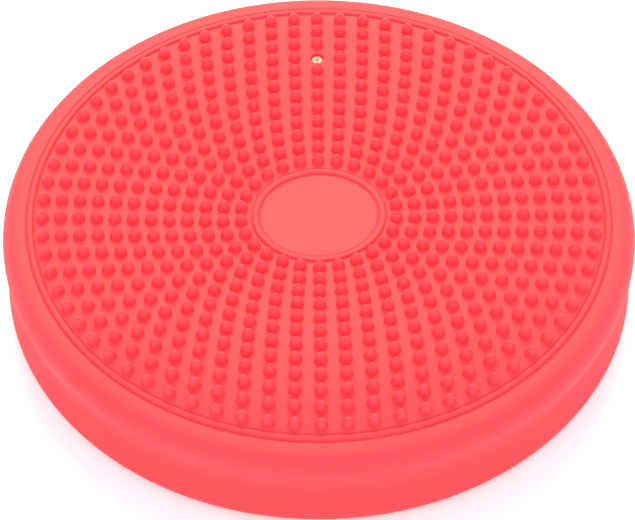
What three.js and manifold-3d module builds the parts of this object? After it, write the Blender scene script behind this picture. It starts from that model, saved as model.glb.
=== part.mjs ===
/**
 * Round air-filled balance pad of soft moulded vinyl.
 *
 * Millimetres, +Z up. The origin is on the floor, under the middle of the pad. The valve is at the rear (+Y).
 *
 * The skin is one hollow moulding. It is divided here along its moulded lines into regions, from the floor up:
 * bottom_panel, lower_shoulder, waist_band, upper_shoulder and top_panel. stud_field is the layer that the
 * massage studs fill on top of the top panel. valve_neck and valve_core are the inflation valve.
 */
import * as THREE from 'three';
import { mergeVertices } from 'three/addons/utils/BufferGeometryUtils.js';
import Module from 'manifold-3d';

// Overall sizes
const overallRadius = 165; // widest point, on the upper shoulder
const creaseHeight = 51; // floor to the crease between the bead and the upper shoulder

// Section of the wall
const skinWall = 2.8;
const lowerShare = 0.47; // section radius of the lower shoulder over the upper one's
const crownRise = 2.4; // top of the upper shoulder's full circle above the crease
const crownAngle = 45; // degrees up the upper shoulder where its arc gives way to the flat crown
const crownBulge = 0.6; // the crown's curve rises towards this height over the crease
const underLift = 1.2; // lowest point of the lower shoulder above the floor
const waistDepth = 4.1; // from the widest point in to the bottom of the waist groove
const waistRadius = 12; // section radius of the waist groove
const flankAngle = 17; // degrees off upright of the straight flanks above and below the groove
const splitShare = 0.5; // how far up the lower flank the waist band starts

// Top panel
const shoulderWidth = 13; // from the widest point in to the crease
const panelWall = 3;
const beadWidth = 3.5;
const beadHeight = 1.6;
const centreDish = 4.3; // how far the middle of the slack panel hangs below the skin round it
const ringSwell = 2.7; // how far the panel swells between the middle and the bead
const frontSwell = 4.7; // air pushed to the front lifts it this far, and leaves the rear this low
const sideSwell = 2.1; // the same, to the right
const crossSwell = 0.8; // front and rear together stand this much above the left and right
const edgeDrop = 1.7; // how far the whole panel sinks just inside the bead, none at the left, twice at the right
const edgeSpan = 8; // power of the radius that keeps this drop close to the bead
const plaqueRadius = 35.3; // outside of the plaque's rim
const plaqueRimWidth = 4.4;
const plaqueRimHeight = 1.6;

// Massage studs
const studRings = 12;
const studRadius = 3.6;
const studHeight = 6;
const studMargin = 8.5; // from the crease in to the outermost ring of studs
const plaqueMargin = 5.7; // from the plaque out to the innermost ring of studs
const studClearance = 0.5; // plain skin kept round the field of studs
const valveRing = 8; // the ring, counted from 0 at the plaque, whose rear stud gives its place to the valve

// Bottom panel
const restMargin = 6; // from the panel's edge in to the flat that rests on the floor
const bottomWall = 3;

// Valve
const headRadius = 3;
const recessClearance = 0.45; // round the head, in the hole through the top panel
const valveMargin = 1.6; // plain skin kept round the hole
const headSink = 1.4; // top of the valve core below the skin
const needleRadius = 0.8;
const barrelRadius = 4;
const barrelLength = 10;
const sealThickness = 2; // closed end that heals round the needle
const neckWall = 2.7;
const neckLip = 1.5; // thickness of the neck's lower lip
const neckOverlap = 1.3; // how far the lip reaches in under the barrel
const barrelClearance = 0.3;
const barrelSink = 0.9; // top of the barrel below the top of the neck

// Fits and faceting
const jointGap = 0.3; // between neighbouring regions of the skin
const roundSegments = 60;
const valveSegments = 20;
const arcSteps = 3; // on each side of a shoulder's widest point
const grooveSteps = 4;
const crownSteps = 3;

const toRadians = Math.PI / 180;

// Places that follow from the sizes above
const creaseRadius = overallRadius - shoulderWidth;
const firstStudRing = plaqueRadius + plaqueMargin;
const lastStudRing = creaseRadius - studMargin;
const studPitch = (lastStudRing - firstStudRing) / (studRings - 1);
const valveCentre = firstStudRing + valveRing * studPitch;
const recessRadius = headRadius + recessClearance;
const neckBore = barrelRadius + barrelClearance;
const neckRadius = neckBore + neckWall;

/** How far the centre of a shoulder of the given section radius stands above or below the waist groove's. */
function shoulderOffset(radius) {
  const flank = flankAngle * toRadians;
  const curved = (radius + waistRadius) * (1 - Math.cos(flank));
  const straight = (waistDepth - curved) / Math.tan(flank);
  return straight + (radius + waistRadius) * Math.sin(flank);
}

/** Heights of both shoulders' section centres and of the groove for one upper section radius. */
function wallStack(upperRadius) {
  const lowerRadius = upperRadius * lowerShare;
  const lowerZ = underLift + lowerRadius;
  const grooveZ = lowerZ + shoulderOffset(lowerRadius);
  const upperZ = grooveZ + shoulderOffset(upperRadius);
  return { lowerRadius, upperRadius, lowerZ, grooveZ, upperZ, crease: upperZ + upperRadius - crownRise };
}

/** The section radii that make the two shoulders and the groove fill the height of the wall. */
function solveWall() {
  let low = 0;
  let high = creaseHeight;
  while (high - low > 1e-6) {
    const middle = (low + high) / 2;
    if (wallStack(middle).crease > creaseHeight) high = middle;
    else low = middle;
  }
  return wallStack(low);
}

const wall = solveWall();
const upperCentre = new THREE.Vector2(overallRadius - wall.upperRadius, wall.upperZ);
const lowerCentre = new THREE.Vector2(overallRadius - wall.lowerRadius, wall.lowerZ);
const grooveCentre = new THREE.Vector2(overallRadius - waistDepth + waistRadius, wall.grooveZ);

/**
 * One station of the wall on an arc of its section: its outer and its inner point as (radius, height). The inner
 * point lies the given way from the outer one along the arc's own radius.
 */
function station(centre, radius, degrees, inwards) {
  const ray = new THREE.Vector2(Math.cos(degrees * toRadians), Math.sin(degrees * toRadians));
  const outer = ray.clone().multiplyScalar(radius).add(centre);
  const inner = ray.clone().multiplyScalar(radius + inwards).add(centre);
  return { outer, inner };
}

/** Stations along an arc of the wall's section, both ends included. */
function arc(centre, radius, from, to, inwards, steps) {
  const stations = [];
  for (let i = 0; i <= steps; i += 1) {
    stations.push(station(centre, radius, from + ((to - from) * i) / steps, inwards));
  }
  return stations;
}

/** Stations of the flat crown of the wall, from the end of the upper shoulder's arc in to the crease. */
function crown(join, crease) {
  const rise = creaseHeight + crownBulge - join.outer.y;
  const reach = rise * Math.tan(crownAngle * toRadians);
  const peak = new THREE.Vector2(join.outer.x - reach, join.outer.y + rise);
  const start = peak.clone().sub(join.outer).normalize();
  const end = crease.clone().sub(peak).normalize();
  const inwards = new THREE.Vector2(-start.y - end.y, start.x + end.x);
  const innerPeak = inwards.multiplyScalar(skinWall / (1 + start.dot(end))).add(peak);
  const innerCrease = new THREE.Vector2(-end.y, end.x).multiplyScalar(skinWall).add(crease);
  const outside = new THREE.QuadraticBezierCurve(join.outer, peak, crease);
  const inside = new THREE.QuadraticBezierCurve(join.inner, innerPeak, innerCrease);
  const stations = [];
  for (let i = 1; i <= crownSteps; i += 1) {
    stations.push({ outer: outside.getPoint(i / crownSteps), inner: inside.getPoint(i / crownSteps) });
  }
  return stations;
}

/** Stations from one angle up to another that take in the widest point of a shoulder, at angle 0. */
function pastWidest(centre, radius, from, to) {
  const below = arc(centre, radius, from, 0, -skinWall, arcSteps);
  const above = arc(centre, radius, 0, to, -skinWall, arcSteps);
  return [...below, ...above.slice(1)];
}

/** A ring round the Z axis. The profile runs anticlockwise in (radius, height) and closes on itself. */
function ring(profile, segments = roundSegments) {
  return new THREE.LatheGeometry([...profile, profile[0]], segments).rotateX(Math.PI / 2);
}

/** A closed band of the wall through stations that run upwards. */
function band(stations) {
  const outside = stations.map(({ outer }) => outer);
  const inside = stations.map(({ inner }) => inner).reverse();
  return ring([...outside, ...inside]);
}

/** Height of the slack top panel over the crease, at a radius and an angle from +X. */
function fieldHeight(radius, angle) {
  const share = Math.min(radius / creaseRadius, 1);
  const slack = 1 - share ** 2;
  const swell = 4 * share ** 2 * slack;
  const lean = (share * slack * 3 * Math.sqrt(3)) / 2;
  const level = ringSwell * swell - centreDish * slack ** 2;
  const cross = -crossSwell * swell * Math.cos(2 * angle);
  const drop = edgeDrop * (1 - share ** edgeSpan) * (1 + share * Math.cos(angle));
  return level + cross - drop + lean * (sideSwell * Math.cos(angle) - frontSwell * Math.sin(angle));
}

/** Height of a half-round ridge of the given outer radius, width and height. */
function ridge(radius, outer, width, height) {
  const across = (radius - outer + width / 2) / (width / 2);
  return Math.abs(across) < 1 ? height * Math.sqrt(1 - across ** 2) : 0;
}

/** Radii that draw a half-round ridge in six facets. */
function ridgeRadii(outer, width) {
  return [-1, -0.85, -0.5, 0, 0.5, 0.85, 1].map((across) => outer + (width / 2) * (across - 1));
}

function skinHeight(radius, angle) {
  const bead = ridge(radius, creaseRadius, beadWidth, beadHeight);
  const rim = ridge(radius, plaqueRadius, plaqueRimWidth, plaqueRimHeight);
  return creaseHeight + fieldHeight(radius, angle) + bead + rim;
}

/** Evenly spaced radii strictly between two radii. */
function between(inner, outer, count) {
  return Array.from({ length: count }, (_, i) => inner + ((outer - inner) * (i + 1)) / (count + 1));
}

/**
 * A round sheet between an upper and a lower surface, each drawn on its own rings of radii. Both lists have the
 * same first and last radius. A list that starts at 0 makes a full disc, any other an open ring.
 */
function sheet(upperRadii, upperHeight, lowerRadii, lowerHeight) {
  const positions = [];
  const faces = [];
  const open = upperRadii[0] > 0;

  function addRing(radius, height) {
    const start = positions.length / 3;
    const count = radius > 0 ? roundSegments : 1;
    for (let i = 0; i < count; i += 1) {
      const angle = (2 * Math.PI * i) / roundSegments;
      positions.push(radius * Math.cos(angle), radius * Math.sin(angle), height(radius, angle));
    }
    return { start, count };
  }

  function joinRings(inner, outer) {
    for (let i = 0; i < roundSegments; i += 1) {
      const next = (i + 1) % roundSegments;
      const a = inner.start + (i % inner.count);
      const b = inner.start + (next % inner.count);
      faces.push(a, outer.start + i, outer.start + next);
      if (inner.count > 1) faces.push(a, outer.start + next, b);
    }
  }

  const upper = upperRadii.map((radius) => addRing(radius, upperHeight));
  const lower = lowerRadii.map((radius) => addRing(radius, lowerHeight));
  for (let i = 1; i < upper.length; i += 1) joinRings(upper[i - 1], upper[i]);
  joinRings(upper.at(-1), lower.at(-1));
  const underside = faces.length;
  for (let i = 1; i < lower.length; i += 1) joinRings(lower[i - 1], lower[i]);
  for (let i = underside; i < faces.length; i += 3) [faces[i], faces[i + 1]] = [faces[i + 1], faces[i]];
  if (open) joinRings(lower[0], upper[0]);

  const geometry = new THREE.BufferGeometry();
  geometry.setAttribute('position', new THREE.Float32BufferAttribute(positions, 3));
  geometry.setIndex(faces);
  return geometry;
}

const wasm = await Module();
wasm.setup();

/** The closed mesh as a solid for cutting. */
function toSolid(geometry) {
  const bare = geometry.clone();
  bare.deleteAttribute('normal');
  bare.deleteAttribute('uv');
  const merged = mergeVertices(bare, 1e-4);
  const vertProperties = new Float32Array(merged.attributes.position.array);
  const triVerts = new Uint32Array(merged.index.array);
  return new wasm.Manifold(new wasm.Mesh({ numProp: 3, vertProperties, triVerts }));
}

/** The geometry with an upright round hole at the valve's place. */
function withValveHole(geometry, radius) {
  const drill = new THREE.CylinderGeometry(radius, radius, 2 * creaseHeight, valveSegments);
  drill.rotateX(Math.PI / 2).translate(0, valveCentre, creaseHeight);
  const cut = toSolid(geometry).subtract(toSolid(drill)).getMesh();
  const result = new THREE.BufferGeometry();
  result.setAttribute('position', new THREE.Float32BufferAttribute(cut.vertProperties, 3));
  result.setIndex(new THREE.Uint32BufferAttribute(cut.triVerts, 1));
  return result;
}

function bottomPanel() {
  const edge = lowerCentre.x - jointGap;
  const rest = creaseRadius - restMargin;
  const profile = [
    [0, 0],
    [rest, 0],
    [rest + underLift, underLift],
    [edge, underLift],
    [edge, underLift + bottomWall],
    [0, underLift + bottomWall],
  ];
  const points = profile.map(([radius, height]) => new THREE.Vector2(radius, height));
  return new THREE.LatheGeometry(points, roundSegments).rotateX(Math.PI / 2);
}

/** The station of the lower flank where the lower shoulder gives way to the waist band, moved up by a length. */
function lowerSplit(shift) {
  const start = station(lowerCentre, wall.lowerRadius, flankAngle, -skinWall);
  const end = station(grooveCentre, waistRadius, 180 + flankAngle, skinWall);
  const share = splitShare + shift / start.outer.distanceTo(end.outer);
  return {
    outer: start.outer.clone().lerp(end.outer, share),
    inner: start.inner.clone().lerp(end.inner, share),
  };
}

function lowerShoulder() {
  return band([...pastWidest(lowerCentre, wall.lowerRadius, -90, flankAngle), lowerSplit(-jointGap / 2)]);
}

function waistBand() {
  const groove = arc(grooveCentre, waistRadius, 180 + flankAngle, 180 - flankAngle, skinWall, grooveSteps);
  const end = station(upperCentre, wall.upperRadius, -flankAngle, -skinWall);
  return band([lowerSplit(jointGap / 2), ...groove, end]);
}

function upperShoulder() {
  const start = -flankAngle + jointGap / wall.upperRadius / toRadians;
  const flank = pastWidest(upperCentre, wall.upperRadius, start, crownAngle);
  const crease = new THREE.Vector2(creaseRadius + jointGap / 2, creaseHeight);
  return band([...flank, ...crown(flank.at(-1), crease)]);
}

function topPanel() {
  const edge = creaseRadius - jointGap / 2;
  const rim = ridgeRadii(plaqueRadius, plaqueRimWidth);
  const bead = ridgeRadii(creaseRadius, beadWidth).slice(0, -1);
  const upper = [0, rim[0] / 2, ...rim, ...between(rim.at(-1), bead[0], 6), ...bead, edge];
  const lower = [0, ...between(0, edge, 5), edge];
  const underside = (radius, angle) => creaseHeight + fieldHeight(radius, angle) - panelWall;
  return withValveHole(sheet(upper, skinHeight, lower, underside), recessRadius);
}

/** The layer from just above the skin to the tips of the studs. */
function studField() {
  const inner = firstStudRing - studRadius - studClearance;
  const outer = lastStudRing + studRadius + studClearance;
  const radii = [inner, ...between(inner, outer, 6), outer];
  const tips = (radius, angle) => creaseHeight + fieldHeight(radius, angle) + studHeight;
  const roots = (radius, angle) => creaseHeight + fieldHeight(radius, angle) + 2 * jointGap;
  return withValveHole(sheet(radii, tips, radii, roots), recessRadius + valveMargin);
}

/** Lowest height of the slack panel over the crease at a distance from the valve's centre. */
function lowestRound(distance) {
  const heights = [];
  for (let i = 0; i < valveSegments; i += 1) {
    const angle = (2 * Math.PI * i) / valveSegments;
    const x = distance * Math.cos(angle);
    const y = valveCentre + distance * Math.sin(angle);
    heights.push(fieldHeight(Math.hypot(x, y), Math.atan2(y, x)));
  }
  return Math.min(...heights);
}

const headTop = creaseHeight + fieldHeight(valveCentre, Math.PI / 2) - headSink;
const neckTop = creaseHeight + lowestRound(neckRadius) - panelWall - jointGap;
const barrelTop = neckTop - barrelSink;
const barrelBottom = barrelTop - barrelLength;

function valveNeck() {
  const bottom = barrelBottom - barrelClearance - neckLip;
  const profile = [
    [neckBore - neckOverlap, bottom],
    [neckRadius, bottom],
    [neckRadius, neckTop],
    [neckBore, neckTop],
    [neckBore, bottom + neckLip],
    [neckBore - neckOverlap, bottom + neckLip],
  ];
  return ring(profile.map(([radius, height]) => new THREE.Vector2(radius, height)), valveSegments);
}

function valveCore() {
  const profile = [
    [0, barrelBottom],
    [barrelRadius, barrelBottom],
    [barrelRadius, barrelTop],
    [headRadius, barrelTop],
    [headRadius, headTop],
    [needleRadius, headTop],
    [needleRadius, barrelBottom + sealThickness],
    [0, barrelBottom + sealThickness],
  ];
  const points = profile.map(([radius, height]) => new THREE.Vector2(radius, height));
  return new THREE.LatheGeometry(points, valveSegments).rotateX(Math.PI / 2);
}

const coralVinyl = new THREE.MeshStandardMaterial({ color: 0xf9585d, roughness: 0.42, metalness: 0 });
const studVinyl = new THREE.MeshStandardMaterial({ color: 0xf5434a, roughness: 0.42, metalness: 0 });
const neckVinyl = new THREE.MeshStandardMaterial({ color: 0xd8393f, roughness: 0.5, metalness: 0 });
const creamRubber = new THREE.MeshStandardMaterial({ color: 0xf4d3b4, roughness: 0.6, metalness: 0 });

const group = new THREE.Group();

/** Adds one named piece to the pad. */
function add(name, geometry, material, y = 0) {
  const mesh = new THREE.Mesh(geometry, material);
  mesh.name = name;
  mesh.position.y = y;
  group.add(mesh);
}

add('bottom_panel', bottomPanel(), coralVinyl);
add('lower_shoulder', lowerShoulder(), coralVinyl);
add('waist_band', waistBand(), coralVinyl);
add('upper_shoulder', upperShoulder(), coralVinyl);
add('top_panel', topPanel(), coralVinyl);
add('stud_field', studField(), studVinyl);
add('valve_neck', valveNeck(), neckVinyl, valveCentre);
add('valve_core', valveCore(), creamRubber, valveCentre);

export default group;
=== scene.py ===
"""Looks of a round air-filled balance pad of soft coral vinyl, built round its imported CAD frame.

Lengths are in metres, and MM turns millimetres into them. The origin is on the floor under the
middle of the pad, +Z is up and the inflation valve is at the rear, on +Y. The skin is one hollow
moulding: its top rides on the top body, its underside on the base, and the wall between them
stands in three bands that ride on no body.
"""

import logging
import math
from dataclasses import dataclass
from enum import Enum
from typing import Any

import bpy
import numpy as np
from mathutils import Euler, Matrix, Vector


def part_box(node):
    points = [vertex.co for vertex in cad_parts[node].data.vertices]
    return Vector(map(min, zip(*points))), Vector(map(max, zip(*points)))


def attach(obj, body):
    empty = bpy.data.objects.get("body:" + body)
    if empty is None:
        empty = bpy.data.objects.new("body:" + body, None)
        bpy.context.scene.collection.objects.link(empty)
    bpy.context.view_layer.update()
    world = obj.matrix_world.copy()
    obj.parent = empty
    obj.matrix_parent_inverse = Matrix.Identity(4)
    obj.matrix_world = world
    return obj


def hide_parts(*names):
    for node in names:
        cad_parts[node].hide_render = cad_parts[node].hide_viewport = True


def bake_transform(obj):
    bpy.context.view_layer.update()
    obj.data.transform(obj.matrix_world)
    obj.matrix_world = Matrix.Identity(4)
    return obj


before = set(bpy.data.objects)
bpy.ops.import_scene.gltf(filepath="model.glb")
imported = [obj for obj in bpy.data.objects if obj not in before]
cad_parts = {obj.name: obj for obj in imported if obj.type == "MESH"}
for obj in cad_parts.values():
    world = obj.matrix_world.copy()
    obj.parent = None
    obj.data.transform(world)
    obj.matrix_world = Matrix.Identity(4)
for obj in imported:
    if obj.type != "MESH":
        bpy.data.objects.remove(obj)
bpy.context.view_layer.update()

MM = 0.001
ROUND = 288  # facets round the whole pad
JOINT_GAP = 0.3 * MM  # what the CAD regions of the skin keep from each other
RIM_TO_STUDS = 5.7 * MM  # from the plaque's rim to the middle of the first ring of studs
STUDS_TO_EDGE = 4.1 * MM  # from the middle of the last ring to the edge of the CAD's stud field

Colour = tuple[float, float, float]
Points = list[tuple[float, float, float]]
Faces = list[tuple[int, ...]]
Profile = list[tuple[float, float]]

log = logging.getLogger("balance_pad")


class Body(Enum):
    """Bodies of the frame, from the floor up."""

    BASE = "base"
    WAIST = "waist"
    SHOULDER = "shoulder"
    TOP = "top"


class Slot(Enum):
    """Material slots of the record."""

    CORAL_VINYL = "coral_vinyl"
    CREAM_RUBBER = "cream_rubber"


# ----------------------------------------------------------------------------------------
# Shader sheet
# ----------------------------------------------------------------------------------------


class Signal:
    """A shader socket that takes part in Python arithmetic. Each operation adds one Math node."""

    def __init__(self, sheet: "MaterialSheet", socket: bpy.types.NodeSocket) -> None:
        """Wraps one output socket of a sheet."""
        self.sheet = sheet
        self.socket = socket

    def _math(self, operation: str, first: Any, second: Any) -> "Signal":
        """Adds a Math node on two values or signals."""
        return self.sheet.node("ShaderNodeMath", {"operation": operation}, {0: first, 1: second})

    def __add__(self, other: Any) -> "Signal":
        """self + other."""
        return self._math("ADD", self, other)

    def __radd__(self, other: Any) -> "Signal":
        """other + self."""
        return self._math("ADD", other, self)

    def __sub__(self, other: Any) -> "Signal":
        """self - other."""
        return self._math("SUBTRACT", self, other)

    def __rsub__(self, other: Any) -> "Signal":
        """other - self."""
        return self._math("SUBTRACT", other, self)

    def __mul__(self, other: Any) -> "Signal":
        """self * other."""
        return self._math("MULTIPLY", self, other)

    def __rmul__(self, other: Any) -> "Signal":
        """other * self."""
        return self._math("MULTIPLY", other, self)

    def __pow__(self, other: Any) -> "Signal":
        """self to the power of other."""
        return self._math("POWER", self, other)


class MaterialSheet:
    """A node material under construction."""

    def __init__(self, name: str) -> None:
        """Starts an empty material whose Principled shader feeds the output.

        Args:
            name: the material's name.
        """
        self.material = bpy.data.materials.new(name)
        self.material.use_nodes = True
        self.tree = self.material.node_tree
        self.tree.nodes.clear()
        self.shader = self.tree.nodes.new("ShaderNodeBsdfPrincipled")
        output = self.tree.nodes.new("ShaderNodeOutputMaterial")
        self.tree.links.new(self.shader.outputs["BSDF"], output.inputs["Surface"])

    def _feed(self, socket: bpy.types.NodeSocket, value: Any) -> None:
        """Links a signal to a socket, or sets a plain value on it.

        Args:
            socket: the socket to feed.
            value: a signal to link to it, or a plain value to set on it.
        """
        if isinstance(value, Signal):
            self.tree.links.new(value.socket, socket)
        elif isinstance(value, tuple) and len(value) == 3 and socket.type == "RGBA":
            socket.default_value = (*value, 1.0)
        else:
            socket.default_value = value

    def node(
        self, kind: str, settings: dict[str, Any], inputs: dict[Any, Any], output: Any = 0
    ) -> Signal:
        """Adds one node.

        Args:
            kind: the node's type.
            settings: its properties, set before its sockets.
            inputs: a value or a signal for each input socket, by name or number.
            output: the output socket to hand back, by name or number.

        Returns:
            The chosen output as a signal.
        """
        node = self.tree.nodes.new(kind)
        for key, value in settings.items():
            setattr(node, key, value)
        for key, value in inputs.items():
            self._feed(node.inputs[key], value)
        return Signal(self, node.outputs[output])

    def mix(self, factor: Any, low: Any, high: Any) -> Signal:
        """Blends two colours.

        Args:
            factor: 0 for the first colour, 1 for the second.
            low: the first colour.
            high: the second colour.

        Returns:
            The blended colour.
        """
        inputs = {0: factor, 6: low, 7: high}
        return self.node("ShaderNodeMix", {"data_type": "RGBA", "clamp_factor": True}, inputs, 2)

    def place(self) -> Signal:
        """The point on the object, in metres."""
        return self.node("ShaderNodeTexCoord", {}, {}, "Object")

    def noise(self, scale: float, detail: float, roughness: float = 0.5) -> Signal:
        """Cloudy noise of a number of features to the metre.

        Args:
            scale: features to the metre.
            detail: octaves of finer noise on top.
            roughness: how strong the finer octaves are.

        Returns:
            The noise, from 0 to 1.
        """
        inputs = {"Vector": self.place(), "Scale": scale, "Detail": detail, "Roughness": roughness}
        return self.node("ShaderNodeTexNoise", {}, inputs, "Fac")

    def bump(self, height: Signal, depth: float, under: Signal | None = None) -> Signal:
        """Turns a height from 0 to 1 into a normal.

        Args:
            height: the height map.
            depth: how far 0 and 1 lie apart, in metres.
            under: a normal to bump further.

        Returns:
            The bumped normal.
        """
        inputs: dict[str, Any] = {"Height": height, "Distance": depth, "Strength": 1.0}
        if under is not None:
            inputs["Normal"] = under
        return self.node("ShaderNodeBump", {}, inputs, "Normal")

    def dress(self, **sockets: Any) -> bpy.types.Material:
        """Feeds the Principled shader.

        Args:
            **sockets: values or signals by socket name, with _ for each space.

        Returns:
            The finished material.
        """
        for key, value in sockets.items():
            self._feed(self.shader.inputs[key.replace("_", " ")], value)
        return self.material


# ----------------------------------------------------------------------------------------
# Finishes
# ----------------------------------------------------------------------------------------


@dataclass(frozen=True)
class Translucence:
    """How light spreads under the surface of soft vinyl."""

    weight: float = 0.15
    radius: Colour = (1.0, 0.25, 0.2)
    scale: float = 2.5 * MM

    def sockets(self) -> dict[str, Any]:
        """The Principled sockets that it sets.

        Returns:
            Values by socket name, with _ for each space.
        """
        return {
            "Subsurface_Weight": self.weight,
            "Subsurface_Radius": self.radius,
            "Subsurface_Scale": self.scale,
        }


@dataclass(frozen=True)
class CoralVinyl:
    """Satin soft vinyl of the skin: faintly cloudy, with the fine grain of a blasted mould."""

    name: str = "coral_vinyl"
    light: Colour = (0.97, 0.084, 0.086)
    deep: Colour = (0.96, 0.076, 0.08)
    roughness: float = 0.5
    roughness_spread: float = 0.08
    cloud_scale: float = 14.0
    grain_scale: float = 2600.0
    grain_depth: float = 0.012 * MM
    ripple_scale: float = 55.0
    ripple_depth: float = 0.12 * MM
    gloss: float = 0.12

    def make(self) -> bpy.types.Material:
        """Builds the material.

        Returns:
            The finished material.
        """
        sheet = MaterialSheet(self.name)
        clouds = sheet.noise(self.cloud_scale, 2.0)
        grain = sheet.noise(self.grain_scale, 2.0, 0.6)
        ripple = sheet.noise(self.ripple_scale, 1.0)
        waved = sheet.bump(ripple, self.ripple_depth)
        return sheet.dress(
            Base_Color=sheet.mix(clouds, self.light, self.deep),
            Roughness=self.roughness + (grain - 0.5) * self.roughness_spread,
            Normal=sheet.bump(grain, self.grain_depth, waved),
            **Translucence().sockets(),
            Specular_IOR_Level=self.gloss,
        )


@dataclass(frozen=True)
class StudVinyl:
    """The same vinyl on the studs, smoother towards the tips. Its colour holds painted light: the
    root is painted a touch lighter than the deeper tip, to lift the shade round the studs' feet.
    """

    name: str = "stud_vinyl"
    # painted light: the root colour is lighter than the tip colour to lift the shade at the studs'
    # feet, and tip_bias sets how far up it reaches
    root: Colour = (0.96, 0.084, 0.087)
    tip: Colour = (0.97, 0.08, 0.082)
    height_attribute: str = "stud_height"
    roughness: float = 0.4
    polish: float = 0.08  # what the tips lose in roughness
    tip_bias: float = 1.5  # larger keeps the root's colour further up
    grain_scale: float = 2600.0
    grain_depth: float = 0.01 * MM
    gloss: float = 0.3

    def make(self) -> bpy.types.Material:
        """Builds the material.

        Returns:
            The finished material.
        """
        sheet = MaterialSheet(self.name)
        settings = {"attribute_name": self.height_attribute, "attribute_type": "GEOMETRY"}
        height = sheet.node("ShaderNodeAttribute", settings, {}, "Fac")
        grain = sheet.noise(self.grain_scale, 2.0, 0.6)
        return sheet.dress(
            # painted light: the lighter root colour fades into the tip colour up the stud's height
            Base_Color=sheet.mix(height**self.tip_bias, self.root, self.tip),
            Roughness=self.roughness - height * self.polish,
            Normal=sheet.bump(grain, self.grain_depth),
            **Translucence().sockets(),
            Specular_IOR_Level=self.gloss,
        )


@dataclass(frozen=True)
class CreamRubber:
    """Matte cream rubber of the valve core, a little darker in its pores."""

    name: str = "cream_rubber"
    light: Colour = (0.95, 0.58, 0.43)
    dark: Colour = (0.82, 0.44, 0.32)
    roughness: float = 0.6
    roughness_spread: float = 0.1
    speckle_scale: float = 1800.0
    speckle_depth: float = 0.03 * MM

    def make(self) -> bpy.types.Material:
        """Builds the material.

        Returns:
            The finished material.
        """
        sheet = MaterialSheet(self.name)
        speckle = sheet.noise(self.speckle_scale, 3.0)
        return sheet.dress(
            Base_Color=sheet.mix(speckle, self.dark, self.light),
            Roughness=self.roughness + (speckle - 0.5) * self.roughness_spread,
            Normal=sheet.bump(speckle, self.speckle_depth),
        )


@dataclass(frozen=True)
class StudioWhite:
    """Pale painted floor of the studio."""

    name: str = "studio_white"
    pale: Colour = (0.9, 0.97, 0.86)
    roughness: float = 0.8
    glow: float = 0.3

    def make(self) -> bpy.types.Material:
        """Builds the material.

        Returns:
            The finished material.
        """
        sheet = MaterialSheet(self.name)
        return sheet.dress(
            Base_Color=self.pale,
            Roughness=self.roughness,
            Emission_Color=self.pale,
            Emission_Strength=self.glow,
        )


# ----------------------------------------------------------------------------------------
# Mesh making
# ----------------------------------------------------------------------------------------


def make_mesh(name: str, points: Any, faces: Faces, crisp: float = 50.0) -> bpy.types.Object:
    """Makes a smooth-shaded mesh object.

    Args:
        name: the piece's name.
        points: its vertices.
        faces: its faces, seen anticlockwise from outside.
        crisp: edges that turn by more degrees than this stay sharp.

    Returns:
        The new object, linked to the scene.
    """
    mesh = bpy.data.meshes.new(name)
    mesh.from_pydata([tuple(map(float, p)) for p in points], [], faces)
    mesh.shade_smooth()
    mesh.set_sharp_from_angle(angle=math.radians(crisp))
    piece = bpy.data.objects.new(name, mesh)
    bpy.context.scene.collection.objects.link(piece)
    return piece


def revolve(profile: Profile, facets: int, closed: bool = False) -> tuple[Points, Faces]:
    """Turns a (radius, height) profile round the Z axis.

    Args:
        profile: its points, with the outside to the right. A point at radius 0 becomes one vertex.
        facets: how many there are round the axis.
        closed: whether the last point joins the first.

    Returns:
        The points and faces.
    """
    points: Points = []
    rings: list[tuple[int, int]] = []
    for radius, height in profile:
        count = facets if radius > 0 else 1
        rings.append((len(points), count))
        for i in range(count):
            angle = 2 * math.pi * i / facets
            points.append((radius * math.cos(angle), radius * math.sin(angle), height))
    faces: Faces = []
    pairs = list(zip(rings, rings[1:])) + ([(rings[-1], rings[0])] if closed else [])
    for (low, low_count), (high, high_count) in pairs:
        for i in range(facets):
            j = (i + 1) % facets
            below = (low + i % low_count, low + j % low_count)
            above = (high + j % high_count, high + i % high_count)
            faces.append(tuple(dict.fromkeys(below + above)))
    return points, faces


def repeat(
    shape: tuple[Points, Faces], places: np.ndarray, ups: np.ndarray
) -> tuple[np.ndarray, Faces]:
    """Sets copies of one shape down at several places.

    Args:
        shape: points and faces of the shape, which stands along +Z on the origin.
        places: where each copy's origin goes, one row each.
        ups: the unit direction that each copy's +Z takes.

    Returns:
        The points and faces of all the copies.
    """
    points = np.array(shape[0])
    sides = np.cross(ups, (0.0, 1.0, 0.0))
    sides /= np.linalg.norm(sides, axis=1)[:, None]
    fronts = np.cross(ups, sides)
    turned = points[:, 0, None] * sides[:, None] + points[:, 1, None] * fronts[:, None]
    turned = turned + points[:, 2, None] * ups[:, None] + places[:, None]
    starts = [n * len(points) for n in range(len(places))]
    faces = [tuple(v + start for v in face) for start in starts for face in shape[1]]
    return turned.reshape(-1, 3), faces


def arc(
    centre: tuple[float, float], radius: float, start: float, end: float, step: float = 3.0
) -> Profile:
    """Points along an arc of a section.

    Args:
        centre: its centre.
        radius: its radius.
        start: the first angle, in degrees from outward.
        end: the last angle.
        step: the most degrees between points.

    Returns:
        The points, both ends included.
    """
    count = max(1, math.ceil(abs(end - start) / step))
    angles = [math.radians(start + (end - start) * i / count) for i in range(count + 1)]
    return [(centre[0] + radius * math.cos(a), centre[1] + radius * math.sin(a)) for a in angles]


def evened(profile: Profile, longest: float) -> Profile:
    """The profile with points added until no stretch is longer than a length.

    Args:
        profile: the points of the profile.
        longest: the most between two of its points.

    Returns:
        The points, old and added.
    """
    result = [profile[0]]
    for (r0, z0), (r1, z1) in zip(profile, profile[1:]):
        count = max(1, math.ceil(math.hypot(r1 - r0, z1 - z0) / longest))
        for i in range(1, count + 1):
            result.append((r0 + (r1 - r0) * i / count, z0 + (z1 - z0) * i / count))
    return result


# ----------------------------------------------------------------------------------------
# Shape of the skin
# ----------------------------------------------------------------------------------------


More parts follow.
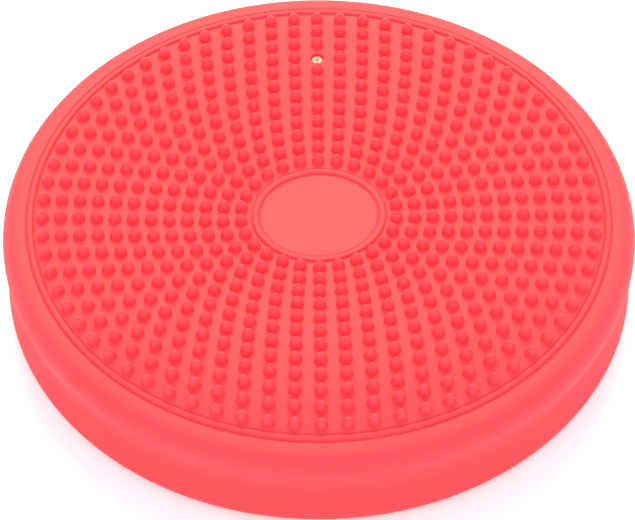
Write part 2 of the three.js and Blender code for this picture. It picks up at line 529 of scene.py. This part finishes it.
@dataclass(frozen=True)
class WallSection:
    """Section of the wall: a small lower and a large upper shoulder, with a waist between them."""

    reach: float
    crease_radius: float
    crease_height: float
    under_lift: float
    bead: "Ridge"
    thickness: float = 2.8 * MM
    lower_share: float = 0.47  # section radius of the lower shoulder over the upper one's
    crown_rise: float = 2.4 * MM  # from the crease up to the top of the upper shoulder's circle
    crown_angle: float = 45.0  # degrees from outward, where the arc gives way to the crown
    crown_bulge: float = 0.6 * MM
    crown_steps: int = 28
    crown_crowding: float = 1.5  # larger draws the crown's points closer to the crease
    waist_depth: float = 4.1 * MM
    waist_radius: float = 12.0 * MM
    flank_angle: float = 17.0  # degrees between the straight flanks and upright
    shoulder_step: float = 1.5  # degrees between the upper shoulder's points
    longest: float = 0.8 * MM  # the most between two points

    def _offset(self, radius: float) -> float:
        """Height from the groove's centre to the centre of a shoulder of some section radius.

        Args:
            radius: the shoulder's section radius.

        Returns:
            The height between the two centres.
        """
        flank = math.radians(self.flank_angle)
        curved = (radius + self.waist_radius) * (1 - math.cos(flank))
        straight = (self.waist_depth - curved) / math.tan(flank)
        return straight + (radius + self.waist_radius) * math.sin(flank)

    def _stack(self, upper_radius: float) -> tuple[float, float, float, float]:
        """Heights of the lower centre, groove, upper centre and crease for one upper radius.

        Args:
            upper_radius: the section radius of the upper shoulder.

        Returns:
            The four heights above the floor, from the lowest up.
        """
        lower_radius = upper_radius * self.lower_share
        lower = self.under_lift + lower_radius
        groove = lower + self._offset(lower_radius)
        upper = groove + self._offset(upper_radius)
        return lower, groove, upper, upper + upper_radius - self.crown_rise

    @property
    def upper_radius(self) -> float:
        """Section radius of the upper shoulder that makes the wall reach the crease."""
        start, end = self._stack(0.0)[3], self._stack(self.crease_height)[3]
        return self.crease_height * (self.crease_height - start) / (end - start)

    @property
    def base_radius(self) -> float:
        """Radius at which the lower shoulder meets the underside."""
        return self.reach - self.upper_radius * self.lower_share

    @property
    def lower_split(self) -> float:
        """Height halfway up the lower flank, where the lower and the waist band meet.

        Returns:
            The height above the floor.
        """
        flank = math.radians(self.flank_angle)
        lower, groove, _, _ = self._stack(self.upper_radius)
        start = lower + self.upper_radius * self.lower_share * math.sin(flank)
        return (start + groove - self.waist_radius * math.sin(flank)) / 2

    @property
    def upper_split(self) -> float:
        """Height just below the upper shoulder's arc, where the waist and upper bands meet."""
        _, _, upper, _ = self._stack(self.upper_radius)
        return upper - self.upper_radius * math.sin(math.radians(self.flank_angle)) - 2 * JOINT_GAP

    def side(self, inset: float) -> Profile:
        """The section from the underside up to the crease.

        Args:
            inset: how far inside the outer face it runs.

        Returns:
            The points, from the underside up.
        """
        upper_radius = self.upper_radius
        lower_radius = upper_radius * self.lower_share
        lower, groove, upper, _ = self._stack(upper_radius)
        bottom = (self.base_radius, lower)
        waist = (self.reach - self.waist_depth + self.waist_radius, groove)
        top = (self.reach - upper_radius, upper)
        points = arc(bottom, lower_radius - inset, -90, self.flank_angle)
        flank = self.flank_angle
        points += arc(waist, self.waist_radius + inset, 180 + flank, 180 - flank)
        points += arc(top, upper_radius - inset, -flank, self.crown_angle, self.shoulder_step)
        return evened(points + self._crown(top, upper_radius, inset), self.longest)

    def _crown(self, centre: tuple[float, float], radius: float, inset: float) -> Profile:
        """The flatter stretch from the upper shoulder's arc in to the crease.

        Args:
            centre: the centre of the upper shoulder's arc.
            radius: its section radius.
            inset: how far inside the outer face the stretch runs.

        Returns:
            The points, without the one on the arc.
        """
        angle = math.radians(self.crown_angle)
        join = Vector(
            (centre[0] + radius * math.cos(angle), centre[1] + radius * math.sin(angle))
        )
        crease = Vector((self.crease_radius, self.crease_height))
        rise = crease.y + self.crown_bulge - join.y
        peak = Vector((join.x - rise * math.tan(angle), join.y + rise))
        points: Profile = []
        for i in range(1, self.crown_steps + 1):
            t = 1 - (1 - i / self.crown_steps) ** self.crown_crowding
            at = join * (1 - t) ** 2 + peak * (2 * t * (1 - t)) + crease * t**2
            along = ((peak - join) * (1 - t) + (crease - peak) * t).normalized()
            groove = float(self.bead.rise(at.x)) if inset == 0 else 0.0
            points.append((at.x - along.y * inset, at.y + along.x * inset + groove))
        return points

    def stretch(self, inset: float, low: float | None, high: float | None) -> Profile:
        """The section between two heights, or to its end where a height is None.

        Args:
            inset: how far inside the outer face it runs.
            low: the height at which it starts.
            high: the height at which it ends.

        Returns:
            The points, from the underside up.
        """
        points = self.side(inset)
        if low is not None:
            points = self._cut(points, low)
        if high is not None:
            points = self._cut(points[::-1], high)[::-1]
        return points

    @staticmethod
    def _cut(points: Profile, height: float) -> Profile:
        """The points past the crossing of a height nearest the underside, with it first.

        Args:
            points: the section, in either direction.
            height: the height of the cut.

        Returns:
            The points past the cut, with the cut itself first.
        """
        above = [z - height for _, z in points]
        crossings = [i for i in range(1, len(points)) if above[i - 1] * above[i] <= 0]
        i = crossings[-1] if points[0][1] > points[-1][1] else crossings[0]
        (r0, z0), (r1, z1) = points[i - 1], points[i]
        share = (height - z0) / (z1 - z0)
        return [(r0 + (r1 - r0) * share, height)] + points[i:]


@dataclass(frozen=True)
class SlackPanel:
    """Height of the top panel, which is a little slack inside the bead and higher at the front."""

    crease_radius: float
    crease_height: float
    centre_dish: float = 4.3 * MM
    ring_swell: float = 2.7 * MM
    front_swell: float = 4.7 * MM
    side_swell: float = 2.1 * MM
    cross_swell: float = 0.8 * MM
    edge_drop: float = 1.7 * MM
    edge_span: float = 8.0  # larger lets the drop fade closer to the edge

    def height(self, x: Any, y: Any) -> Any:
        """Height of the plain skin above the floor at some places.

        Args:
            x: distances to the right.
            y: distances to the rear.

        Returns:
            The heights.
        """
        share = np.minimum(np.hypot(x, y) / self.crease_radius, 1.0)
        angle = np.arctan2(y, x)
        slack = 1 - share**2
        swell = 4 * share**2 * slack
        lean = share * slack * 3 * math.sqrt(3) / 2  # 1 where it is largest
        level = self.ring_swell * swell - self.centre_dish * slack**2
        cross = -self.cross_swell * swell * np.cos(2 * angle)
        drop = self.edge_drop * (1 - share**self.edge_span) * (1 + share * np.cos(angle))
        tilt = lean * (self.side_swell * np.cos(angle) - self.front_swell * np.sin(angle))
        return self.crease_height + level + cross - drop + tilt

    def up(self, x: Any, y: Any) -> np.ndarray:
        """Unit directions square to the skin at some places, one row each.

        Args:
            x: distances to the right.
            y: distances to the rear.

        Returns:
            The directions, one row for each place.
        """
        step = 0.5 * MM
        slope_x = (self.height(x + step, y) - self.height(x - step, y)) / (2 * step)
        slope_y = (self.height(x, y + step) - self.height(x, y - step)) / (2 * step)
        ups = np.stack([-slope_x, -slope_y, np.ones_like(slope_x)], axis=-1)
        return ups / np.linalg.norm(ups, axis=-1)[..., None]


@dataclass(frozen=True)
class Ridge:
    """A raised round ridge with a fine groove along each side."""

    outer: float
    width: float
    height: float
    groove: float = 0.0  # depth
    groove_spread: float = 0.36 * MM

    @property
    def _grooves(self) -> tuple[float, float]:
        """Radii of the two grooves."""
        return self.outer - self.width - self.groove_spread, self.outer + self.groove_spread

    def rise(self, radius: Any) -> Any:
        """Height of the ridge at some radii.

        Args:
            radius: one radius or several.

        Returns:
            The height over the plain skin, negative in the grooves.
        """
        across = np.clip(np.abs(radius - self.outer + self.width / 2) / (self.width / 2), 0, 1)
        height = self.height * np.sqrt(1 - across**2)
        for middle in self._grooves:
            height = height - self.groove * np.exp(-(((radius - middle) / self.groove_spread) ** 2))
        return height

    def radii(self, count: int = 16) -> list[float]:
        """Radii that draw the ridge, closer together at its steep edges, and its grooves.

        Args:
            count: how many steps span the ridge's width.

        Returns:
            The radii, from the middle of the pad out.
        """
        middle = self.outer - self.width / 2
        radii = [middle - self.width / 2 * math.cos(math.pi * i / count) for i in range(count + 1)]
        if self.groove > 0:
            steps = [self.groove_spread * i / 3 for i in range(1, 8)]
            inner = [radii[0] - step for step in steps[::-1]]
            radii = inner + radii + [radii[-1] + step for step in steps]
        return radii


# ----------------------------------------------------------------------------------------
# Pieces
# ----------------------------------------------------------------------------------------


@dataclass
class Underside:
    """Flat underside of the skin with its bead, and the low nubs that the pad rests on."""

    section: WallSection
    bead: Ridge
    finish: bpy.types.Material
    thickness: float = 3.0 * MM
    longest: float = 6.0 * MM  # the most between two rings of the outer face
    nub_radius: float = 2.6 * MM
    nub_root: float = 0.3 * MM  # how far the nubs reach into the skin
    nub_pitch: float = 12.0 * MM
    nub_margin: float = 10.0 * MM
    nub_facets: int = 16

    def build(self) -> list[bpy.types.Object]:
        """Makes the skin of the underside and its nubs."""
        return [self._skin(), self._nubs()]

    def _skin(self) -> bpy.types.Object:
        """The flat skin, whose edge meets the lower shoulder.

        Returns:
            The piece.
        """
        lift = self.section.under_lift
        edge = self.section.base_radius
        radii = self.bead.radii()
        bead = [(radius, lift - float(self.bead.rise(radius))) for radius in radii]
        flat = evened([(0.0, lift), (radii[0] - 1 * MM, lift)], self.longest)
        inside = [(edge, lift + self.thickness), (0.0, lift + self.thickness)]
        profile = flat + bead + [(edge, lift)] + evened(inside, 2 * self.longest)
        points, faces = revolve(profile, ROUND)
        piece = make_mesh("bottom_skin", points, faces)
        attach(piece, Body.BASE.value)
        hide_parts("bottom_panel")
        return dress(piece, self.finish)

    def _nubs(self) -> bpy.types.Object:
        """Rings of low round nubs that reach down to the floor.

        Returns:
            The nubs, as one piece.
        """
        lift = self.section.under_lift
        turns = np.linspace(0, math.pi / 2, 7)[:-1]
        dome = [(self.nub_radius * math.cos(a), -lift * math.sin(a)) for a in turns]
        root = [(self.nub_radius, self.nub_root), (0.0, self.nub_root)]
        profile = [(0.0, -lift), *dome[::-1], *root]
        places = [(0.0, 0.0)]
        ring = 1
        while ring * self.nub_pitch < self.bead.outer - self.nub_margin:
            count = 6 * ring
            radius = ring * self.nub_pitch
            angles = [2 * math.pi * (i + ring % 2 / 2) / count for i in range(count)]
            places += [(radius * math.cos(a), radius * math.sin(a)) for a in angles]
            ring += 1
        spots = np.array([(x, y, lift) for x, y in places])
        ups = np.tile((0.0, 0.0, 1.0), (len(spots), 1))
        points, faces = repeat(revolve(profile, self.nub_facets), spots, ups)
        piece = make_mesh("grip_nubs", points, faces)
        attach(piece, Body.BASE.value)
        log.info("%d nubs under the pad", len(spots))
        return dress(piece, self.finish)


@dataclass
class SideWall:
    """The wall round the pad in three bands, each of which stands in for one CAD node."""

    section: WallSection
    finish: bpy.types.Material

    def build(self) -> list[bpy.types.Object]:
        """Makes the three bands.

        Returns:
            The bands, from the floor up.
        """
        low, high = self.section.lower_split, self.section.upper_split
        return [
            self._band("lower_wall", "lower_shoulder", (None, low)),
            self._band("waist_wall", "waist_band", (low, high)),
            self._band("upper_wall", "upper_shoulder", (high, None)),
        ]

    def _band(
        self,
        name: str,
        node: str,
        cut: tuple[float | None, float | None],
    ) -> bpy.types.Object:
        """Makes one band.

        Args:
            name: the piece's name.
            node: the CAD node that it stands for.
            cut: the heights between which it runs, None for the end of the wall.

        Returns:
            The band.
        """
        outside = self.section.stretch(0.0, *cut)
        inside = self.section.stretch(self.section.thickness, *cut)
        points, faces = revolve(outside + inside[::-1], ROUND, closed=True)
        piece = make_mesh(name, points, faces)
        dress(piece, self.finish)
        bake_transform(piece)
        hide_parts(node)
        return piece


@dataclass
class TopSkin:
    """Slack top panel with its bead, the plaque's rim and the hole for the valve."""

    panel: SlackPanel
    bead: Ridge
    rim: Ridge
    valve: "Valve"
    finish: bpy.types.Material
    thickness: float = 3.0 * MM
    step: float = 2.4 * MM
    patch: int = 4  # cells each way round the valve that make way for its round hole
    lip: float = 0.5 * MM  # radius of the hole's rounded edge

    def build(self) -> bpy.types.Object:
        """Makes the panel as one closed skin.

        Returns:
            The piece.
        """
        radii = self._radii()
        points, faces = revolve([(radius, 0.0) for radius in radii[::-1]], ROUND)
        plan = np.array(points)[:, :2]
        faces, loop = self._open_patch(faces, radii)
        plan, drop, faces, hole = self._round_hole(plan, faces, loop)
        upper = np.column_stack([plan, self._height(plan) - drop])
        lower = np.column_stack([plan, self.panel.height(*plan.T) - self.thickness])
        count = len(plan)
        under = [tuple(v + count for v in face[::-1]) for face in faces]
        rim = list(range(ROUND))
        sides = self._bridge(rim, count) + self._bridge(hole[::-1], count)
        used = sorted({v for face in faces for v in face})
        used += [v + count for v in used]
        where = {old: new for new, old in enumerate(used)}
        everything = [tuple(where[v] for v in face) for face in faces + under + sides]
        piece = make_mesh("top_skin", np.vstack([upper, lower])[used], everything)
        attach(piece, Body.TOP.value)
        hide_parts("top_panel")
        return dress(piece, self.finish)

    def _radii(self) -> list[float]:
        """Radii of the panel's rings, from the middle out. One of them runs through the valve.

        Returns:
            The radii, without repeats.
        """
        stretches = [
            (0.0, self.rim.radii()[0] - self.step / 2),
            (self.rim.radii()[-1] + self.step / 2, self.valve.distance),
            (self.valve.distance, self.bead.radii()[0] - self.step / 2),
        ]
        radii: list[float] = []
        for start, end in stretches:
            count = round((end - start) / self.step)
            radii += [start + (end - start) * i / count for i in range(count + 1)]
        edge = self.panel.crease_radius
        radii += self.rim.radii() + [radius for radius in self.bead.radii() if radius < edge]
        return sorted({*radii, edge})

    def _height(self, plan: np.ndarray) -> np.ndarray:
        """Height of the outer face, ridges included."""
        radius = np.hypot(*plan.T)
        return self.panel.height(*plan.T) + self.bead.rise(radius) + self.rim.rise(radius)

    def _open_patch(self, faces: Faces, radii: list[float]) -> tuple[Faces, list[int]]:
        """Takes out the cells round the valve.

        Args:
            faces: the faces of the whole round panel, ring by ring from the outside in.
            radii: the radii of its rings, from the middle out.

        Returns:
            The faces that are left, and the loop of vertices round the opening.
        """
        ring = radii[::-1].index(self.valve.distance)
        quarter = ROUND // 4
        near = range(-self.patch, self.patch)
        gone = {(ring + i) * ROUND + quarter + j for i in near for j in near}
        kept = [face for n, face in enumerate(faces) if n not in gone]
        low, high = -self.patch, self.patch
        forth, back = range(low, high), range(high, low, -1)
        corners = [(low, j) for j in forth] + [(i, high) for i in forth]
        corners += [(high, j) for j in back] + [(i, low) for i in back]
        return kept, [(ring + i) * ROUND + quarter + j for i, j in corners]

    def _round_hole(
        self, plan: np.ndarray, faces: Faces, loop: list[int]
    ) -> tuple[np.ndarray, np.ndarray, Faces, list[int]]:
        """Fills the opening with rings that turn from its outline into the valve's round hole.

        Args:
            plan: places of the vertices so far.
            faces: the faces so far.
            loop: the vertices round the opening.

        Returns:
            The places, how far each vertex lies below the skin, the faces, and the hole's vertices.
        """
        centre = np.array((0.0, self.valve.distance))
        outline = plan[loop]
        angles = np.arctan2(*(outline - centre).T[::-1])
        rays = np.column_stack([np.cos(angles), np.sin(angles)])
        lip_radius = self.valve.recess_radius + self.lip
        circle = centre + rays * lip_radius
        drop = [np.zeros(len(plan))]
        rings = [outline + (circle - outline) * share for share in (0.25, 0.5, 0.75, 1.0)]
        drop += [np.zeros(len(loop)) for _ in rings]
        for turn in np.linspace(0, math.pi / 2, 6)[1:]:
            rings.append(centre + rays * (lip_radius - self.lip * math.sin(turn)))
            drop.append(np.full(len(loop), self.lip * (1 - math.cos(turn))))
        faces = list(faces)
        outer = loop
        start = len(plan)
        for _ in rings:
            inner = list(range(start, start + len(loop)))
            for i in range(len(loop)):
                j = (i + 1) % len(loop)
                faces.append((outer[i], outer[j], inner[j], inner[i]))
            outer = inner
            start += len(loop)
        return np.vstack([plan, *rings]), np.concatenate(drop), faces, outer

    @staticmethod
    def _bridge(loop: list[int], below: int) -> Faces:
        """Faces that join a loop of the outer face to the same loop of the inner face."""
        pairs = zip(loop, loop[1:] + loop[:1])
        return [(a + below, b + below, b, a) for a, b in pairs]


@dataclass
class MassageStuds:
    """Twelve rings of moulded studs, each a rounded cone with a small fillet at its root."""

    panel: SlackPanel
    valve: "Valve"
    finish: bpy.types.Material
    first_ring: float
    last_ring: float
    rings: int = 12
    first_count: int = 26
    added_count: int = 4
    valve_ring: int = 8
    radius: float = 3.45 * MM
    height: float = 6.2 * MM
    fillet: float = 0.4 * MM
    flare: float = 0.9  # height of the fillet over its width
    sink: float = 0.4 * MM  # how far the studs reach into the skin
    fullness: float = 2.0  # larger keeps the sides upright further up
    taper: float = 0.68  # larger draws the tip out finer
    facets: int = 24

    def build(self) -> bpy.types.Object:
        """Makes all the studs as one piece.

        Returns:
            The piece.
        """
        spots = self._places()
        x, y = spots.T
        places = np.column_stack([x, y, self.panel.height(x, y)])
        shape = revolve(self._profile(), self.facets)
        points, faces = repeat(shape, places, self.panel.up(x, y))
        piece = make_mesh("massage_studs", points, faces)
        heights = np.clip([p[2] / self.height for p in shape[0]], 0, 1)
        attribute = piece.data.attributes.new("stud_height", "FLOAT", "POINT")
        attribute.data.foreach_set("value", np.tile(heights, len(places)).astype(np.float32))
        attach(piece, Body.TOP.value)
        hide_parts("stud_field")
        log.info("%d studs on the top", len(places))
        return dress(piece, self.finish)

    def _places(self) -> np.ndarray:
        """Places of the studs. The valve takes the place of the rearmost one of its ring.

        Returns:
            Distances to the right and to the rear, one row for each stud.
        """
        places = []
        depth = self.last_ring - self.first_ring
        for ring in range(self.rings):
            radius = self.first_ring + depth * ring / (self.rings - 1)
            count = self.first_count + self.added_count * ring
            for i in range(count):
                if (ring, i) != (self.valve_ring, 0):
                    angle = math.pi / 2 + 2 * math.pi * i / count
                    places.append((radius * math.cos(angle), radius * math.sin(angle)))
        return np.array(places)

    def _profile(self) -> Profile:
        """Section of one stud, which starts a little under the skin.

        Returns:
            The points, from the root up to the tip.
        """
        steps = 12
        side: Profile = []
        for i in range(steps + 1):
            rise = math.sin(math.pi / 2 * i / steps)
            width = (1 - rise**self.fullness) ** self.taper
            side.append((self.radius * width, self.height * rise))
        foot: Profile = []
        for a in np.linspace(0, math.pi / 2, 5):
            spread, up = self.fillet * (1 - math.sin(a)), self.fillet * (1 - math.cos(a))
            foot.append((self.radius + spread, up * self.flare))
        body = [point for point in side if point[1] > foot[-1][1] + 0.2 * MM]
        body[-1] = (0.0, self.height)
        return [(0.0, -self.sink), (foot[0][0], -self.sink), *foot, *body]


@dataclass
class Valve:
    """Inflation valve: a rubber plug with a needle hole, held in the neck behind the top panel."""

    distance: float
    top: float
    bottom: float
    rubber: bpy.types.Material
    vinyl: bpy.types.Material
    head_radius: float = 3.0 * MM
    barrel_radius: float = 4.0 * MM
    barrel_length: float = 10.0 * MM
    recess_radius: float = 3.45 * MM
    needle_radius: float = 0.8 * MM
    lip: float = 0.45 * MM  # radius of the head's rounded edges
    corner: float = 0.5 * MM  # bevel of the barrel's ends
    seal: float = 2.0 * MM  # how much rubber closes the needle hole's end
    arc_step: float = 15.0
    facets: int = 48

    def build(self) -> bpy.types.Object:
        """Makes the plug and dresses the neck that holds it.

        Returns:
            The plug.
        """
        barrel_top = self.bottom + self.barrel_length
        corner = self.corner
        level = self.top - self.lip
        mouth = arc((self.needle_radius + self.lip, level), self.lip, 180, 90, self.arc_step)
        edge = arc((self.head_radius - self.lip, level), self.lip, 90, 0, self.arc_step)
        profile = [
            (0.0, self.bottom + self.seal),
            (self.needle_radius, self.bottom + self.seal),
            *mouth,
            *edge,
            (self.head_radius, barrel_top),
            (self.barrel_radius - corner, barrel_top),
            (self.barrel_radius, barrel_top - corner),
            (self.barrel_radius, self.bottom + corner),
            (self.barrel_radius - corner, self.bottom),
            (0.0, self.bottom),
        ]
        points, faces = revolve(profile[::-1], self.facets)
        moved = np.array(points) + (0.0, self.distance, 0.0)
        plug = make_mesh("valve_plug", moved, faces)
        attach(plug, Body.TOP.value)
        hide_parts("valve_core")
        repaint(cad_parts["valve_neck"], self.vinyl)
        return dress(plug, self.rubber)


def dress(piece: bpy.types.Object, finish: bpy.types.Material) -> bpy.types.Object:
    """Gives a piece its finish."""
    piece.data.materials.append(finish)
    return piece


def repaint(node: bpy.types.Object, finish: bpy.types.Material) -> None:
    """Gives a CAD node that stays in view its finish.

    Args:
        node: the CAD node.
        finish: its new material.
    """
    if not node.material_slots:
        node.data.materials.append(finish)
    for place in node.material_slots:
        place.material = finish


# ----------------------------------------------------------------------------------------
# Studio
# ----------------------------------------------------------------------------------------


@dataclass
class Studio:
    """Pale floor, soft lights and the camera. Its angles are in degrees."""

    target_height: float
    floor_half: float = 6.0
    world_strength: float = 0.95
    world_colour: Colour = (0.96, 0.94, 1.22)
    key: tuple[float, float, float] = (0.0, 0.95, 1.0)
    key_size: float = 0.95
    key_power: float = 17.5
    key_colour: Colour = (1.0, 1.0, 0.66)
    fill: tuple[float, float, float] = (0.0, -2.0, 1.0)
    fill_size: float = 1.5
    fill_power: float = 5.0
    fill_colour: Colour = (0.92, 0.86, 1.15)
    distance: float = 1254.3 * MM
    elevation: float = 47.4
    azimuth: float = -0.5
    aim_below: float = 1.23
    aim_left: float = 0.05
    lens: float = 136.5
    sensor: float = 36.0

    def build(self) -> None:
        """Sets the whole studio up."""
        self._floor()
        self._world()
        self._area("key_light", self.key, self.key_size, self.key_power, self.key_colour)
        self._area("fill_light", self.fill, self.fill_size, self.fill_power, self.fill_colour)
        self._camera()
        view = bpy.context.scene.view_settings
        view.view_transform = "Standard"
        view.look = "None"
        view.exposure = 0.0
        view.gamma = 1.0

    def _floor(self) -> None:
        """A wide flat floor."""
        half = self.floor_half
        turns = ((-1, -1), (1, -1), (1, 1), (-1, 1))
        corners = [(x * half, y * half, 0.0) for x, y in turns]
        floor = make_mesh("floor", corners, [(0, 1, 2, 3)])
        floor.data.materials.append(StudioWhite().make())

    def _world(self) -> None:
        """Even and slightly cool light from all round."""
        world = bpy.data.worlds.new("studio")
        world.use_nodes = True
        background = world.node_tree.nodes["Background"]
        background.inputs["Color"].default_value = (*self.world_colour, 1.0)
        background.inputs["Strength"].default_value = self.world_strength
        bpy.context.scene.world = world

    def _area(
        self,
        name: str,
        place: tuple[float, float, float],
        size: float,
        power: float,
        colour: Colour,
    ) -> None:
        """Adds a square soft light that faces the pad.

        Args:
            name: the light's name.
            place: where it hangs.
            size: the length of its side.
            power: its power in watts.
            colour: its colour.
        """
        light = bpy.data.lights.new(name, "AREA")
        light.color = colour
        light.size = size
        light.energy = power
        lamp = bpy.data.objects.new(name, light)
        lamp.location = place
        towards = Vector((0.0, 0.0, self.target_height)) - Vector(place)
        lamp.rotation_euler = towards.to_track_quat("-Z", "Y").to_euler()
        bpy.context.scene.collection.objects.link(lamp)

    def _camera(self) -> None:
        """Puts the camera in front of the pad, looking down on it."""
        data = bpy.data.cameras.new("camera")
        data.lens = self.lens
        data.sensor_width = self.sensor
        camera = bpy.data.objects.new("camera", data)
        angle = math.radians(self.elevation)
        turn = math.radians(self.azimuth)
        reach = self.distance * math.cos(angle)
        rise = self.target_height + self.distance * math.sin(angle)
        camera.location = (reach * math.sin(turn), -reach * math.cos(turn), rise)
        pitch = math.radians(90 - self.elevation - self.aim_below)
        camera.rotation_euler = Euler((pitch, 0.0, turn + math.radians(self.aim_left)))
        bpy.context.scene.collection.objects.link(camera)
        bpy.context.scene.camera = camera


def crease_of(node: bpy.types.Object) -> tuple[float, float]:
    """The crease between the wall and the top panel.

    Args:
        node: the CAD node of the upper shoulder, whose inner top edge is half a joint gap outside
            the crease.

    Returns:
        The crease's radius and its height.
    """
    corners = np.array([v.co for v in node.data.vertices])
    radii = np.hypot(corners[:, 0], corners[:, 1])
    crown_depth = 3 * MM
    top = corners[:, 2] > corners[:, 2].max() - crown_depth
    edge = top & (radii < radii[top].min() + 2 * JOINT_GAP)
    height = corners[edge, 2].max()
    return float(radii[edge].max() - JOINT_GAP / 2), float(height)


def main() -> None:
    """Builds the pad from the floor up, then the studio."""
    logging.basicConfig(level=logging.INFO, format="%(name)s: %(message)s")
    coral = CoralVinyl().make()
    crease_radius, crease_height = crease_of(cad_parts["upper_shoulder"])
    log.info("crease at %.2f mm radius, %.2f mm height", crease_radius / MM, crease_height / MM)
    bead_edge = crease_radius - 0.45 * MM
    bead = Ridge(outer=bead_edge, width=3.0 * MM, height=0.8 * MM, groove=0.6 * MM)
    rim = Ridge(outer=35.1 * MM, width=3.7 * MM, height=1.2 * MM, groove=0.35 * MM)
    under_bead = Ridge(outer=crease_radius, width=3.5 * MM, height=1.0 * MM)
    section = WallSection(
        reach=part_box("upper_shoulder")[1].x,
        crease_radius=crease_radius,
        crease_height=crease_height,
        under_lift=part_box("lower_shoulder")[0].z,
        bead=bead,
    )
    panel = SlackPanel(crease_radius, crease_height)
    core_low, core_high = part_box("valve_core")
    valve = Valve(
        distance=(core_low.y + core_high.y) / 2,
        top=core_high.z,
        bottom=core_low.z,
        rubber=CreamRubber().make(),
        vinyl=coral,
    )
    studs = MassageStuds(
        panel=panel,
        valve=valve,
        finish=StudVinyl().make(),
        first_ring=rim.outer + RIM_TO_STUDS,
        last_ring=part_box("stud_field")[1].x - STUDS_TO_EDGE,
    )
    pieces = [
        *Underside(section, under_bead, coral).build(),
        *SideWall(section, coral).build(),
        TopSkin(panel, bead, rim, valve, coral).build(),
        studs.build(),
        valve.build(),
    ]
    for piece in pieces:
        log.info("%s: %d faces", piece.name, len(piece.data.polygons))
    Studio(target_height=crease_height).build()


if __name__ == "__main__":
    main()
